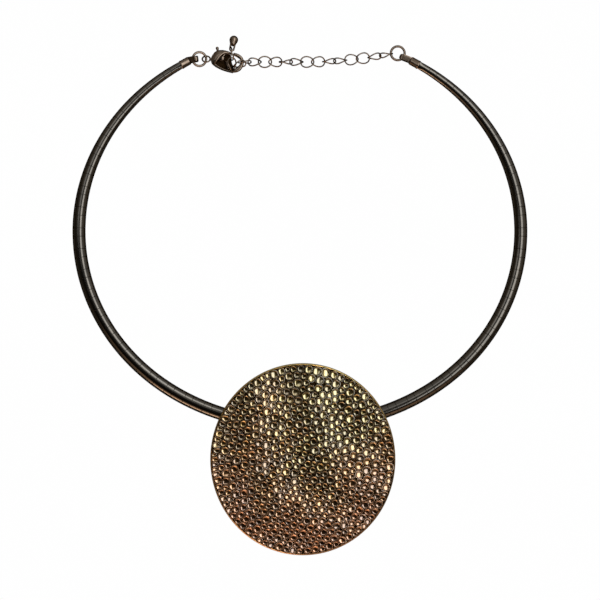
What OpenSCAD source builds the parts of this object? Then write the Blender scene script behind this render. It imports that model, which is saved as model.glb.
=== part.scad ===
// Collar necklace: a tapered round collar with a disc of small hollow cups in front, a
// lobster clasp and an extender chain at the back. It lies flat: X across, Y away from the disc, Z up.
// Lengths are millimetres. The loop's own centre is the centre of the collar's curve, and
// in_frame() moves everything so that the origin is under the middle of the whole piece.

/* [Collar] */
// Mean radius of the collar's curve
collar_radius = 66.58; // [60:0.1:75]
// How much wider than long the curve is, added at the sides and taken off front and back
collar_oval = 4.08; // [0:0.01:8]
// How far the curve reaches towards the disc
collar_reach = 2.89; // [0:0.01:6]
// Slight egg shape of the curve
collar_egg = 0.23; // [0:0.01:1]
// Angle from the side to where the collar goes into its end caps
collar_end_angle = 52.8; // [45:0.1:60]
// Thickness of the collar in front
tube_front_d = 4.35; // [3:0.05:6]
// Thickness of the collar at the sides
tube_side_d = 4.2; // [3:0.05:6]
// Thickness of the collar at its ends
tube_end_d = 2.5; // [2:0.05:4]

/* [Disc] */
// Half width of the disc
disc_half_w = 29.6; // [20:0.1:40]
// Half height of the disc
disc_half_h = 31.0; // [20:0.1:40]
// Distance from the collar's centre to the middle of the disc
disc_from_centre = 75.85; // [60:0.05:90]
// How far the disc has slid to the right along the collar
disc_aside = 0.93; // [-3:0.01:3]
// Lean of the disc from its lower edge up onto the collar
disc_lean = 6.6; // [5:0.1:12]
// Height of the plain rim
rim_h = 1.3; // [0.8:0.1:2]
// Width of the plain rim
rim_w = 0.45; // [0.2:0.05:1]
// Rise of the shield from the rim to its middle
shield_rise = 3.4; // [1:0.1:5]
// Thickness of the shield
shield_t = 1.1; // [0.8:0.1:2]
// Rings of cups round the middle one
cup_rings = 13; // [8:1:13]
// Depth of a cup below the ridges between cups
cup_depth = 0.55; // [0.3:0.05:0.7]

/* [Hardware] */
// Outer size of a jump ring
jump_ring_d = 5.08; // [4:0.01:6]
// Thickness of a jump ring's wire
jump_wire_d = 0.66; // [0.4:0.01:1]
// Length of a chain link
link_length = 4.62; // [4:0.01:5]
// Width of a chain link
link_width = 3.95; // [3:0.05:4.5]
// Thickness of a link's wire
link_wire_d = 0.41; // [0.3:0.01:0.5]
// Distance between the first two links of the chain, which is slack there
link_pitch = 3.245; // [3:0.005:3.5]
// How much farther apart each next pair lies, up to the taut end
link_spread = 0.04; // [0:0.005:0.06]
// How far each link is rolled from the one before it
link_roll = 43; // [40:1:50]
// Radius of the drop's ball
drop_ball_r = 1.4; // [1:0.05:2]

/* [Hidden] */
$fn = 48;

gunmetal = "#3a3835";
bronze = "#5a4c40";
antique_gold = "#8a7040";

// Where things are on the loop, from the collar's centre
drop_at = [-21.18, 58.37, 1.41];
front_y = -(collar_radius - collar_oval + collar_reach - collar_egg);
disc_low_y = -disc_from_centre - disc_half_h * cos(disc_lean);
disc_edge_y = disc_low_y - rim_h * sin(disc_lean);
frame_y = -(disc_edge_y + drop_at[1] + drop_ball_r) / 2;

// The collar is a straight-lined tube that leans a little, because the bail lifts its front
bail_wall = 0.7;
bail_play = 0.15;
collar_front_z = bail_wall + bail_play + tube_front_d / 2;
collar_slope = 0.0122;
taper_power = 1.2;
tube_sides = 12;
tube_rings = 84;

function collar_r(phi) = collar_radius + collar_oval * cos(2 * phi)
    - collar_reach * sin(phi) - collar_egg * sin(3 * phi);
function collar_z(y) = collar_front_z - collar_slope * (y - front_y);
function collar_point(phi) =
    let (r = collar_r(phi), y = r * sin(phi))
    [r * cos(phi), y, collar_z(y)];
function unit(v) = v / norm(v);
function collar_way(phi) = unit(collar_point(phi + 0.05) - collar_point(phi - 0.05));

// Thickness by angle above the side line, the same left and right
function lifted(phi) = phi > 90 ? 180 - phi : (phi < -90 ? -180 - phi : phi);
function tube_d(phi) =
    let (a = lifted(phi))
    a < 0 ? tube_side_d + (tube_front_d - tube_side_d) * (-a / 90)
          : tube_side_d - (tube_side_d - tube_end_d) * pow(a / collar_end_angle, taper_power);

module in_frame() {
    translate([0, frame_y, 0]) children();
}

// A ring of points round a path point, from two directions across the path
function ring_of(p, across, up, r, sides) = [
    for (i = [0 : sides - 1]) p + r * (cos(360 * i / sides) * across + sin(360 * i / sides) * up)
];

// Faces of a tube with closed ends, ring after ring
function tube_faces(rings, sides) = concat(
    [[for (i = [sides - 1 : -1 : 0]) i]],
    [for (k = [0 : rings - 2], i = [0 : sides - 1])
        let (a = k * sides + i, b = k * sides + (i + 1) % sides)
        [a, b, b + sides, a + sides]],
    [[for (i = [0 : sides - 1]) (rings - 1) * sides + i]]
);

// Faces of a tube that closes on itself
function loop_faces(rings, sides) = [
    for (k = [0 : rings - 1], i = [0 : sides - 1])
        let (a = k * sides + i, b = k * sides + (i + 1) % sides)
        [a, b, (b + sides) % (rings * sides), (a + sides) % (rings * sides)]
];

// Collar
module collar() {
    start = -180 - collar_end_angle;
    sweep = 180 + 2 * collar_end_angle;
    phis = [for (k = [0 : tube_rings - 1]) start + sweep * k / (tube_rings - 1)];
    rings = [for (phi = phis)
        let (way = collar_way(phi), across = unit(cross(way, [0, 0, 1])), up = cross(across, way))
        ring_of(collar_point(phi), across, up, tube_d(phi < -180 ? phi + 360 : phi) / 2, tube_sides)];
    color(gunmetal) in_frame()
        polyhedron([for (r = rings) each r], tube_faces(tube_rings, tube_sides));
}

// Place on the disc: u across, v up the disc, w out of its face, from the rim's back plane
function on_disc(p) =
    let (v = p[1] + disc_half_h)
    [p[0] + disc_aside,
     disc_low_y + v * cos(disc_lean) - p[2] * sin(disc_lean),
     v * sin(disc_lean) + p[2] * cos(disc_lean)];

// Height of the shield's face, where the ridges are: it bulges, with soft waves that die
// out at the rim
wave_h = 0.45;
wave_length = 27;
function shield_w(u, v) =
    let (q = pow(u / disc_half_w, 2) + pow(v / disc_half_h, 2),
         fade = max(0, 1 - q),
         wave = sin(360 * (0.8 * u + 0.6 * v) / wave_length + 60)
              + 0.7 * sin(360 * (0.5 * u - 0.9 * v) / (1.3 * wave_length) - 40))
    rim_h + shield_rise * (1 - pow(min(q, 1), 1.1)) + wave_h * wave * min(1, 2.5 * fade);

// The cups sit on a six-sided lattice that is bent into rings. Places on the lattice are
// counted in thirds of a step, so that a corner between three cups has whole numbers too.
rim_q = 1 - rim_w / disc_half_w;
function lattice_size(q, r) = max(abs(q), abs(r), abs(q + r));
function lattice_turn(q, r) =
    let (h = lattice_size(q, r))
    h == 0 ? 0
    : r == h && q < 0 ? 60 - 60 * q / h
    : r == -h && q > 0 ? 240 + 60 * q / h
    : q == -h || q <= 0 && r <= 0 ? 180 - 60 * r / h
    : 60 * r / h;
function lattice_spot(q, r) =
    let (h = lattice_size(q, r),
         radius = h > 3 * cup_rings ? 1 : h / (3 * cup_rings + 1.5),
         turn = lattice_turn(q, r))
    rim_q * radius * [disc_half_w * cos(turn), disc_half_h * sin(turn)];
function bent(p) =
    let (free = 1 - pow(norm(p) / disc_half_w, 4),
         a = 360 * p[0] / bend_length, b = 360 * p[1] / bend_length,
         across = sin(0.8 * b + 0.5 * a + 50) + sin(1.3 * b - 20),
         along = sin(0.9 * a - 0.4 * b) + sin(1.4 * a + 80))
    p + bend * max(0, free) * [across, along] / 1.5;

// Random size of each cup, and where it ends after the cups have pushed each other about
row_len = 2 * cup_rings + 1;
cup_size = rands(0.7, 1.32, row_len * row_len, 7);
shift_a = rands(-1, 1, row_len * row_len, 11);
shift_b = rands(-1, 1, row_len * row_len, 12);
cup_step = disc_half_w / (cup_rings + 0.5);
shift_max = 0.42 * cup_step;
push_rounds = 12;
push_share = 0.2;
bend = 0.7;
bend_length = 15;
neighbours = [[1, 0], [0, 1], [-1, 1], [-1, 0], [0, -1], [1, -1]];
function slot_of(q, r) = (q + cup_rings) * row_len + r + cup_rings;
function inside(q, r) = lattice_size(q, r) <= cup_rings;
function start_spots() = [
    for (q = [-cup_rings : cup_rings], r = [-cup_rings : cup_rings])
        inside(q, r)
            ? bent(lattice_spot(3 * q, 3 * r))
              + (lattice_size(q, r) < cup_rings ? shift_max : shift_max / 3)
              * [shift_a[slot_of(q, r)], shift_b[slot_of(q, r)]]
            : [0, 0]
];
function push(from, gap) = norm(from) < 0.01 ? [0, 0] : from * (gap / norm(from) - 1);
function pushed(spots) = [
    for (q = [-cup_rings : cup_rings], r = [-cup_rings : cup_rings])
        let (k = slot_of(q, r), here = spots[k])
        lattice_size(q, r) >= cup_rings ? here
        : here + push_share * [1, 1, 1, 1, 1, 1] * [
            for (n = neighbours)
                let (m = slot_of(q + n[0], r + n[1]))
                push(here - spots[m], 1.04 * cup_step * (cup_size[k] + cup_size[m]) / 2)]
];
function settled(spots, rounds) = rounds == 0 ? spots : settled(pushed(spots), rounds - 1);

// The corner between three cups, nearer to the smaller ones
function shared(three, spots) =
    let (pull = [for (k = three) 1 / cup_size[k]])
    (pull[0] * spots[three[0]] + pull[1] * spots[three[1]] + pull[2] * spots[three[2]])
    / (pull[0] + pull[1] + pull[2]);

// A corner between three cups, given in thirds of a step. At the rim it lies on the rim line.
function corner(spots, q, r) =
    lattice_size(q, r) > 3 * cup_rings ? lattice_spot(q, r)
    : let (odd = (q % 3 + 3) % 3 == 1,
           a = [floor(q / 3), floor(r / 3) + (odd ? 0 : 1)],
           b = [floor(q / 3) + 1, floor(r / 3) + (odd ? 0 : 1)],
           c = odd ? [floor(q / 3), floor(r / 3) + 1] : [floor(q / 3) + 1, floor(r / 3)])
    shared([for (n = [a, b, c]) slot_of(n[0], n[1])], spots);

corner_ways = [[1, 1], [-1, 2], [-2, 1], [-1, -1], [1, -2], [2, -1]];
wall_out = 0.64;
wall_down = 0.6;
function raise(p, h) = on_disc([p[0], p[1], shield_w(p[0], p[1]) + h]);

// One cup: six corners on the ridges round it, six points down its wall, and its bottom
function cup_points(spots, q, r) =
    let (here = spots[slot_of(q, r)],
         depth = cup_depth * (0.6 + 0.4 * cup_size[slot_of(q, r)]),
         top = [for (d = corner_ways) corner(spots, 3 * q + d[0], 3 * r + d[1])])
    concat([for (p = top) raise(p, 0)],
           [for (p = top) raise(here + wall_out * (p - here), -depth * wall_down)],
           [raise(here, -depth)]);
function cup_faces(first) = concat(
    [for (i = [0 : 5]) let (j = (i + 1) % 6) [first + i, first + i + 6, first + j + 6, first + j]],
    [for (i = [0 : 5]) [first + 12, first + 6 + (i + 1) % 6, first + 6 + i]]
);

// Points along the rim line, in the same whole numbers as the outermost corners
function turned(q, r, times) = times == 0 ? [q, r] : turned(-r, q + r, times - 1);
rim_list = [
    for (side = [0 : 5], i = [0 : cup_rings])
        let (n = 3 * cup_rings, r = 3 * (i - cup_rings))
        each (i < cup_rings
            ? [turned(n + 2, r - 1, side), turned(n + 1, r + 1, side)]
            : [turned(n + 2, r - 1, side)])
];
rim_count = len(rim_list);
back_step = 3;
back_count = rim_count / back_step;
back_rings = [0.93, 0.72, 0.45];
function rim_spot(i, grow) = grow * lattice_spot(rim_list[i][0], rim_list[i][1]);
function back_w(u, v) = max(0, shield_w(u, v) - shield_t);
// Inside the last of those rings the back is a flat-sided cone up to its middle
function back_cone_w(u, v) =
    let (share = norm([u / disc_half_w, v / disc_half_h]) / back_rings[2])
    back_w(0, 0) + share * (back_w(u / share, v / share) - back_w(0, 0));

module disc() {
    spots = settled(start_spots(), push_rounds);
    cups = [
        for (q = [-cup_rings : cup_rings], r = [-cup_rings : cup_rings])
            if (inside(q, r)) cup_points(spots, q, r)
    ];
    cup_count = len(cups);
    inner_top = [for (i = [0 : rim_count - 1]) let (p = rim_spot(i, 1)) raise(p, 0)];
    rim_line = [for (i = [0 : rim_count - 1]) rim_spot(i, 1 / rim_q)];
    outer_top = [for (p = rim_line) on_disc([p[0], p[1], rim_h])];
    outer_low = [for (p = rim_line) on_disc([p[0], p[1], 0])];
    backs = [for (g = back_rings, i = [0 : back_count - 1])
        let (p = rim_spot(i * back_step, g / rim_q), w = g > 0.9 ? 0 : back_w(p[0], p[1]))
        on_disc([p[0], p[1], w])];
    middle = [on_disc([0, 0, back_w(0, 0)])];
    at_inner = cup_count * 13;
    at_outer = at_inner + rim_count;
    at_low = at_outer + rim_count;
    at_back = at_low + rim_count;
    at_middle = at_back + len(back_rings) * back_count;
    rim_faces = [
        for (i = [0 : rim_count - 1], step = [0, 1])
            let (j = (i + 1) % rim_count, a = at_inner + step * rim_count)
            [a + i, a + j, a + j + rim_count, a + i + rim_count]
    ];
    fan_faces = [
        for (i = [0 : back_count - 1])
            let (j = (i + 1) % back_count, low = at_low + i * back_step,
                 next = at_low + ((i + 1) * back_step) % rim_count)
            each [[low, low + 1, at_back + i],
                  [low + 1, at_back + j, at_back + i],
                  [low + 1, low + 2, at_back + j],
                  [low + 2, next, at_back + j]]
    ];
    back_faces = [
        for (k = [0 : len(back_rings) - 2], i = [0 : back_count - 1])
            let (j = (i + 1) % back_count, a = at_back + k * back_count)
            [a + i, a + j, a + j + back_count, a + i + back_count]
    ];
    last = at_back + (len(back_rings) - 1) * back_count;
    middle_faces = [for (i = [0 : back_count - 1]) [last + i, last + (i + 1) % back_count, at_middle]];
    color(antique_gold) in_frame()
        polyhedron(
            concat([for (c = cups) each c], inner_top, outer_top, outer_low, backs, middle),
            concat([for (k = [0 : cup_count - 1]) each cup_faces(13 * k)],
                   rim_faces, fan_faces, back_faces, middle_faces));
}

// Bail: a strap round the collar's front, with a short post up to the disc's hollow back. It
// follows the collar's direction where the disc has slid to.
bail_w = 6;
post_w = 4;
post_l = 3;
solder_gap = 0.03;
bail_phi = -90 + disc_aside / collar_r(-90) * 180 / PI;
module bail_rod(length, r) {
    here = collar_point(bail_phi);
    way = collar_way(bail_phi);
    translate([here[0], here[1], tube_front_d / 2 + bail_play + bail_wall])
        rotate([0, 90, atan2(way[1], way[0])])
            cylinder(h = length, r = r, center = true);
}
module bail() {
    outer_r = tube_front_d / 2 + bail_play + bail_wall;
    v = (front_y - disc_low_y) / cos(disc_lean) - disc_half_h;
    color(antique_gold) in_frame() difference() {
        union() {
            bail_rod(bail_w, outer_r);
            hull() for (side = [-1, 1], end = [-1, 1]) {
                x = side * post_w / 2;
                foot = [disc_aside + x, front_y + end * post_l / 2, 2 * outer_r - bail_wall];
                top_v = v + end * post_l / 2;
                top = on_disc([x, top_v, back_cone_w(x, top_v) - solder_gap]);
                translate(foot) cube([0.01, 0.01, 0.01], center = true);
                translate(top - [0, 0, 0.005]) cube([0.01, 0.01, 0.01], center = true);
            }
        }
        bail_rod(bail_w + 1, outer_r - bail_wall);
    }
}

// End caps: a sleeve on the collar's end and a folded strap that holds the jump ring.
// The sleeve's mouth is the collar's end face. Local X runs out of the collar.
sleeve_r = 1.36;
sleeve_l = 3.4;
lip_l = 0.5;
neck_l = 0.35;
strap_w = 2.1;
strap_t = 0.38;
strap_gap = 1.1;
strap_l = 3.5;
module strap() {
    outer_h = strap_gap + 2 * strap_t;
    intersection() {
        translate([0, 0, -outer_h]) union() {
            translate([-0.6, -strap_w / 2 + 0.15, 0]) cube([1.2, strap_w - 0.3, 2 * outer_h]);
            translate([0.2, -strap_w / 2, 0]) cube([strap_l - strap_w / 2 - 0.2, strap_w, 2 * outer_h]);
            translate([strap_l - strap_w / 2, 0, 0]) cylinder(h = 2 * outer_h, d = strap_w);
        }
        difference() {
            union() {
                translate([-0.6, -strap_w, -outer_h / 2])
                    cube([strap_l + 0.6 - outer_h / 2, 2 * strap_w, outer_h]);
                translate([strap_l - outer_h / 2, 0, 0]) rotate([90, 0, 0])
                    cylinder(h = 2 * strap_w, d = outer_h, center = true);
            }
            translate([0.3, -2 * strap_w, -strap_gap / 2])
                cube([strap_l - 0.3 - outer_h / 2, 4 * strap_w, strap_gap]);
            translate([strap_l - outer_h / 2, 0, 0]) rotate([90, 0, 0])
                cylinder(h = 4 * strap_w, d = strap_gap, center = true);
        }
    }
}
module end_cap(strap_turn, strap_rise) {
    rotate([0, 90, 0]) cylinder(h = lip_l, r = sleeve_r + 0.06);
    rotate([0, 90, 0]) cylinder(h = sleeve_l - neck_l, r = sleeve_r);
    translate([sleeve_l - neck_l, 0, 0]) rotate([0, 90, 0])
        cylinder(h = neck_l, r1 = sleeve_r, r2 = 0.95);
    translate([sleeve_l, 0, 0]) rotate([0, -strap_rise, strap_turn]) strap();
}
module on_collar_end(phi, outward) {
    way = outward * collar_way(phi);
    translate(collar_point(phi)) rotate([0, -asin(way[2]), atan2(way[1], way[0])]) children();
}
module end_cap_right() {
    color(bronze) in_frame() on_collar_end(collar_end_angle, 1) end_cap(7, 0);
}
module end_cap_left() {
    color(bronze) in_frame() on_collar_end(180 - collar_end_angle, -1) end_cap(-22, 45);
}

// Jump rings: a round ring in its own plane, then tipped and put in place. A roll lifts the
// side away from the disc, a lean lowers the right side.
module wire_ring(mean_r, wire_d) {
    rotate_extrude() translate([mean_r, 0]) circle(d = wire_d, $fn = 24);
}
jump_mean_r = (jump_ring_d - jump_wire_d) / 2;
right_ring_at = [31.35, 54.08, 1.63];
right_ring_lean = 3;
left_ring_at = [-32.19, 52.19, 2.11];
left_ring_roll = 2.5;
left_ring_lean = 14.4;
module jump_ring_right() {
    color(bronze) in_frame() translate(right_ring_at) rotate([0, right_ring_lean, 0])
        wire_ring(jump_mean_r, jump_wire_d);
}
module jump_ring_left() {
    color(bronze) in_frame() translate(left_ring_at) rotate([left_ring_roll, 0, 0])
        rotate([0, left_ring_lean, 0])
            wire_ring(jump_mean_r, jump_wire_d);
}

// Chain links: an oval of wire with a slight twist, so that neighbours can lie crossed
link_points = 14;
link_sides = 5;
link_twist = 0.38;
link_half_l = (link_length - link_wire_d) / 2;
link_half_w = (link_width - link_wire_d) / 2;
function link_centre(t) = [link_half_l * cos(t), link_half_w * sin(t), -link_twist * sin(2 * t)];
module chain_link() {
    rings = [for (k = [0 : link_points - 1])
        let (t = 360 * k / link_points,
             way = unit(link_centre(t + 1) - link_centre(t - 1)),
             across = unit(cross(way, [0, 0, 1])), up = cross(across, way))
        ring_of(link_centre(t), across, up, link_wire_d / 2, link_sides)];
    polyhedron([for (r = rings) each r], loop_faces(link_points, link_sides));
}

// The chain runs from the clasp's claw to the right jump ring, slack at first and then taut
chain_start = [-17.73, 51.28, 2];
chain_rise = 2.3;
rise_from = 6;
links_in_chain = 14;
function chain_spot(i) = chain_start + [
    i * (link_pitch + link_spread * (i - 1) / 2),
    chain_rise * pow(max(0, i - rise_from) / (links_in_chain - 1 - rise_from), 2),
    0
];
module chain_link_number(i) {
    here = chain_spot(i);
    way = chain_spot(i + 0.5) - chain_spot(i - 0.5);
    color(bronze) in_frame() translate(here) rotate([90 + link_roll * i, 0, atan2(way[1], way[0])])
        chain_link();
}
module link_01() { chain_link_number(0); }
module link_02() { chain_link_number(1); }
module link_03() { chain_link_number(2); }
module link_04() { chain_link_number(3); }
module link_05() { chain_link_number(4); }
module link_06() { chain_link_number(5); }
module link_07() { chain_link_number(6); }
module link_08() { chain_link_number(7); }
module link_09() { chain_link_number(8); }
module link_10() { chain_link_number(9); }
module link_11() { chain_link_number(10); }
module link_12() { chain_link_number(11); }
module link_13() { chain_link_number(12); }
module link_14() { chain_link_number(13); }

// Links of the chain's end, which lies over the clasp: where each one is and how it is turned
//              x       y      z     turn  tilt  roll
tail_links = [[-19.43, 50.46, 1.77,  21.4, -9.4, 62.3],
              [-21.72, 50.4,  3.65,  92.9,  3.7, 49.8],
              [-21.87, 53.8,  4.23,  98.1,  2.9, 94.4]];
module tail_link(i) {
    t = tail_links[i];
    color(bronze) in_frame() translate([t[0], t[1], t[2]])
        rotate([0, 0, t[3]]) rotate([0, t[4], 0]) rotate([t[5], 0, 0]) chain_link();
}
module tail_link_1() { tail_link(0); }
module tail_link_2() { tail_link(1); }
module tail_link_3() { tail_link(2); }

// End drop: a solid ball with two prongs that close into an eye
drop_turn = -11.5;
drop_rise = 26.4;
eye_r = 0.62;
eye_wire_r = 0.27;
eye_out = 3.45;
module end_drop() {
    prong_top = [0.85, -0.75];
    prong_way = [eye_r, -eye_out] - prong_top;
    color(bronze) in_frame() translate(drop_at) rotate([0, 0, drop_turn]) rotate([-drop_rise, 0, 0]) {
        sphere(r = drop_ball_r);
        for (side = [-1, 1])
            translate([side * prong_top[0], prong_top[1], 0])
                rotate([90, 0, 0]) rotate([0, side * atan2(prong_way[0], -prong_way[1]), 0])
                    cylinder(h = norm(prong_way), r1 = 0.5, r2 = eye_wire_r);
        translate([0, -eye_out, 0]) rotate([0, 0, 180])
            rotate_extrude(angle = 180) translate([eye_r, 0]) circle(r = eye_wire_r, $fn = 24);
    }
}

// Clasp: places are counted from its pin. The shell is a back plate, a wall that is open
// at the top for the lever, and a front plate that is cut away along a curved ridge.
clasp_at = [-25.09, 52.48];
plate_t = 0.5;
clasp_t = 3;
arm_low = 1.0;
arm_high = 2.2;
pin_r = 0.32;
pin_play = 0.04;

// Round a row of points off: each pair is joined by a curve through both
function curve_part(p, i, t) =
    let (n = len(p), a = p[max(i - 1, 0)], b = p[i], c = p[min(i + 1, n - 1)], d = p[min(i + 2, n - 1)])
    (2 * b + t * (c - a) + t * t * (2 * a - 5 * b + 4 * c - d) + t * t * t * (3 * b - a - 3 * c + d)) / 2;
function smooth(p, steps = 3) = concat(
    [for (i = [0 : len(p) - 2], k = [0 : steps - 1]) curve_part(p, i, k / steps)],
    [p[len(p) - 1]]
);
// A band along a row of [x, y, width] points
function band_side(p, side) = [
    for (i = [0 : len(p) - 1])
        let (a = p[max(i - 1, 0)], b = p[min(i + 1, len(p) - 1)],
             way = unit([b[0] - a[0], b[1] - a[1]]))
        [p[i][0], p[i][1]] + side * p[i][2] / 2 * [-way[1], way[0]]
];
function backwards(p) = [for (i = [len(p) - 1 : -1 : 0]) p[i]];
function band(p) = let (s = smooth(p)) concat(band_side(s, 1), backwards(band_side(s, -1)));

tail_loop_at = [-4.93, -0.24];
tail_loop_r = 1.26;
tail_loop_wire_d = 0.52;
tail_loop_roll = -38;
shell_top = [[-3.45, -0.3], [-2.56, 1.44], [-1.44, 2.4], [0.16, 2.6], [1.6, 2.35]];
shell_low = [[-3.45, -0.75], [-3.2, -1.65], [-2.5, -2.35], [-1.44, -3.05], [0.3, -3.85],
             [2.1, -4.4], [3.6, -4.75]];
ridge = [[2.75, 1.95], [2.6, 1.35], [1.7, 1.35], [0.86, 1.1], [-0.13, 0.25], [-1.2, -1.1], [-2.45, -2.3]];
wall = [[-2.0, 1.75, 0.7], [-2.85, 0.5, 0.7], [-3.15, -0.5, 0.7], [-2.8, -1.5, 0.65],
        [-1.35, -2.65, 0.65], [0.35, -3.55, 0.6], [2.0, -4.12, 0.6], [3.3, -4.35, 0.75]];
hook = [[3.0, -4.25, 0.75], [4.4, -3.98, 1.25], [5.45, -3.38, 1.55], [6.25, -2.4, 1.3],
        [6.62, -1.22, 1.05], [6.3, -0.1, 1.1], [5.35, 0.72, 1.2], [4.4, 1.15, 1.05], [3.4, 1.5, 0.75]];
back_edge = [[3.9, -4.0], [3.75, -2.6], [3.3, -1.4], [3.1, -0.2], [2.7, 1.2]];
gate_r = 3.7;
gate_gap = 0.08;

module clasp_body() {
    color(bronze) in_frame() translate(clasp_at) difference() {
        union() {
            linear_extrude(plate_t) polygon(concat(smooth(shell_top), backwards(smooth(back_edge)),
                backwards(smooth(shell_low))));
            translate([0, 0, clasp_t - plate_t]) linear_extrude(plate_t)
                polygon(concat(smooth(shell_top), smooth(ridge), backwards(smooth(shell_low))));
            linear_extrude(clasp_t - 0.4) polygon(band(wall));
            difference() {
                translate([0, 0, arm_low]) linear_extrude(arm_high - arm_low) polygon(band(hook));
                cylinder(h = clasp_t, r = gate_r + gate_gap);
            }
            translate([tail_loop_at[0], tail_loop_at[1], clasp_t / 2]) rotate([tail_loop_roll, 0, 0])
                wire_ring(tail_loop_r, tail_loop_wire_d);
            translate([-3.85, -0.3, clasp_t / 2]) rotate([0, 90, 0]) cylinder(h = 0.6, r = 0.42);
        }
        translate([0, 0, -1]) cylinder(h = clasp_t + 2, r = pin_r);
    }
}

// Lever: a boss on the pin, the gate that closes the claw and a nub for the thumb
lever_low = 0.62;
lever_high = 2.38;
gate = [[0.2, 0.3, 0.9], [1.0, 1.35, 0.8], [2.0, 1.62, 0.8], [3.9, 1.3, 0.62]];
nub = [[-0.1, 0.3, 1.0], [-0.9, 1.6, 0.75], [-1.35, 2.9, 0.6]];
nub_tip = [-1.38, 3.2];
module clasp_lever() {
    color(bronze) in_frame() translate(clasp_at) difference() {
        union() {
            translate([0, 0, lever_low]) cylinder(h = lever_high - lever_low, r = 0.9);
            intersection() {
                translate([0, 0, arm_low]) linear_extrude(arm_high - arm_low) polygon(band(gate));
                cylinder(h = clasp_t, r = gate_r);
            }
            translate([0, 0, arm_low]) linear_extrude(arm_high - arm_low) polygon(band(nub));
            translate([nub_tip[0], nub_tip[1], arm_low - 0.1])
                cylinder(h = arm_high - arm_low + 0.2, r = 0.38);
        }
        translate([0, 0, -1]) cylinder(h = clasp_t + 2, r = pin_r + pin_play);
    }
}

// Pin: through both plates of the clasp
module clasp_pin() {
    color(bronze) in_frame() translate([clasp_at[0], clasp_at[1], 0]) cylinder(h = clasp_t, r = pin_r);
}

// Spring: a short coil in the hollow
coil_from = [1.5, -0.8];
coil_to = [2.15, -3.3];
coil_turns = 5;
coil_r = 0.5;
coil_wire_d = 0.26;
points_per_turn = 8;
module clasp_spring() {
    way = coil_to - coil_from;
    count = coil_turns * points_per_turn + 1;
    rings = [for (k = [0 : count - 1])
        let (t = 360 * k / points_per_turn,
             here = [coil_r * cos(t), coil_r * sin(t), norm(way) * k / (count - 1)],
             out = [cos(t), sin(t), 0])
        ring_of(here, out, [0, 0, 1], coil_wire_d / 2, 4)];
    color(bronze) in_frame()
        translate([clasp_at[0] + coil_from[0], clasp_at[1] + coil_from[1], clasp_t / 2])
        rotate([0, 90, atan2(way[1], way[0])])
        polyhedron([for (r = rings) each r], tube_faces(count, 4));
}

collar();
disc();
bail();
end_cap_right();
end_cap_left();
jump_ring_right();
jump_ring_left();
link_01();
link_02();
link_03();
link_04();
link_05();
link_06();
link_07();
link_08();
link_09();
link_10();
link_11();
link_12();
link_13();
link_14();
tail_link_1();
tail_link_2();
tail_link_3();
end_drop();
clasp_body();
clasp_lever();
clasp_pin();
clasp_spring();
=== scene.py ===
# %% [markdown]
# # A collar necklace with a disc of small cups
# The real necklace is a round gunmetal tube bent into a collar, with a round disc in front
# that is covered with small polished cups, and a lobster clasp on a chain at the back. It lies
# on a white table and is seen from straight above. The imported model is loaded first, because
# every piece that is made here takes its place from it.

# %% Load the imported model
import random
from math import asin, atan2, copysign, cos, degrees, pi, radians, sin, sqrt, tau
import bpy
import numpy as np
from mathutils import Euler, Matrix, Vector


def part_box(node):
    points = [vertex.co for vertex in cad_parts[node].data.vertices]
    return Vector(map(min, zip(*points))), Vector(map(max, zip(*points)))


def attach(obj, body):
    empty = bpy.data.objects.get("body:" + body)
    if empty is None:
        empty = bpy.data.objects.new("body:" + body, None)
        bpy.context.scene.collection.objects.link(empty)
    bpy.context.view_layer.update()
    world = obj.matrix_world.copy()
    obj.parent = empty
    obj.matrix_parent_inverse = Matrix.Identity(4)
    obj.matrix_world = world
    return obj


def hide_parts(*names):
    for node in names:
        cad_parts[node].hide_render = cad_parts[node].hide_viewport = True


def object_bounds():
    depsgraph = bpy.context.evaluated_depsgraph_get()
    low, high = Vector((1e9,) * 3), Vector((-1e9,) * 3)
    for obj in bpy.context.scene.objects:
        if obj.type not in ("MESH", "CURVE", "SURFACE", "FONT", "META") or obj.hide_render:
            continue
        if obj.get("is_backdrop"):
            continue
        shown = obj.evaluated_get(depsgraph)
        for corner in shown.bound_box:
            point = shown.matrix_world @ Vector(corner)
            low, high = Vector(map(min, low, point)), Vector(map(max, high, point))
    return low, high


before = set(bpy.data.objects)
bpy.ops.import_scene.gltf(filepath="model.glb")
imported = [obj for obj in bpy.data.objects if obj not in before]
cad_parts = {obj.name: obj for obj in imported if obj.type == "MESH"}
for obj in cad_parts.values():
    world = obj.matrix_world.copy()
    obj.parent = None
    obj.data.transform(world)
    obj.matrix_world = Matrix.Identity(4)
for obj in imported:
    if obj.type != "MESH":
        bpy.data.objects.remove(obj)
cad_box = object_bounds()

MM = 0.001
print("packed box in mm:", [[round(c / MM, 1) for c in corner] for corner in cad_box])

# %% [markdown]
# ## Colours and nodes
# Colours are picked as sRGB hex values, as a plating chart gives them, and Blender mixes light
# in linear values, so one function turns one into the other. A second one adds a node with its
# settings and with what its inputs take, for materials and Geometry Nodes alike. Every metal
# here ends in the same shader, so a third one adds that.

# %% Colours and nodes
def plating(code):
    parts = [int(code[i:i + 2], 16) / 255 for i in (1, 3, 5)]
    return [p / 12.92 if p <= 0.04045 else ((p + 0.055) / 1.055) ** 2.4 for p in parts] + [1.0]


def socket(sockets, name):
    live = [s for s in sockets if s.enabled]
    return live[name] if isinstance(name, int) else next(s for s in live if s.name == name)


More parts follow.
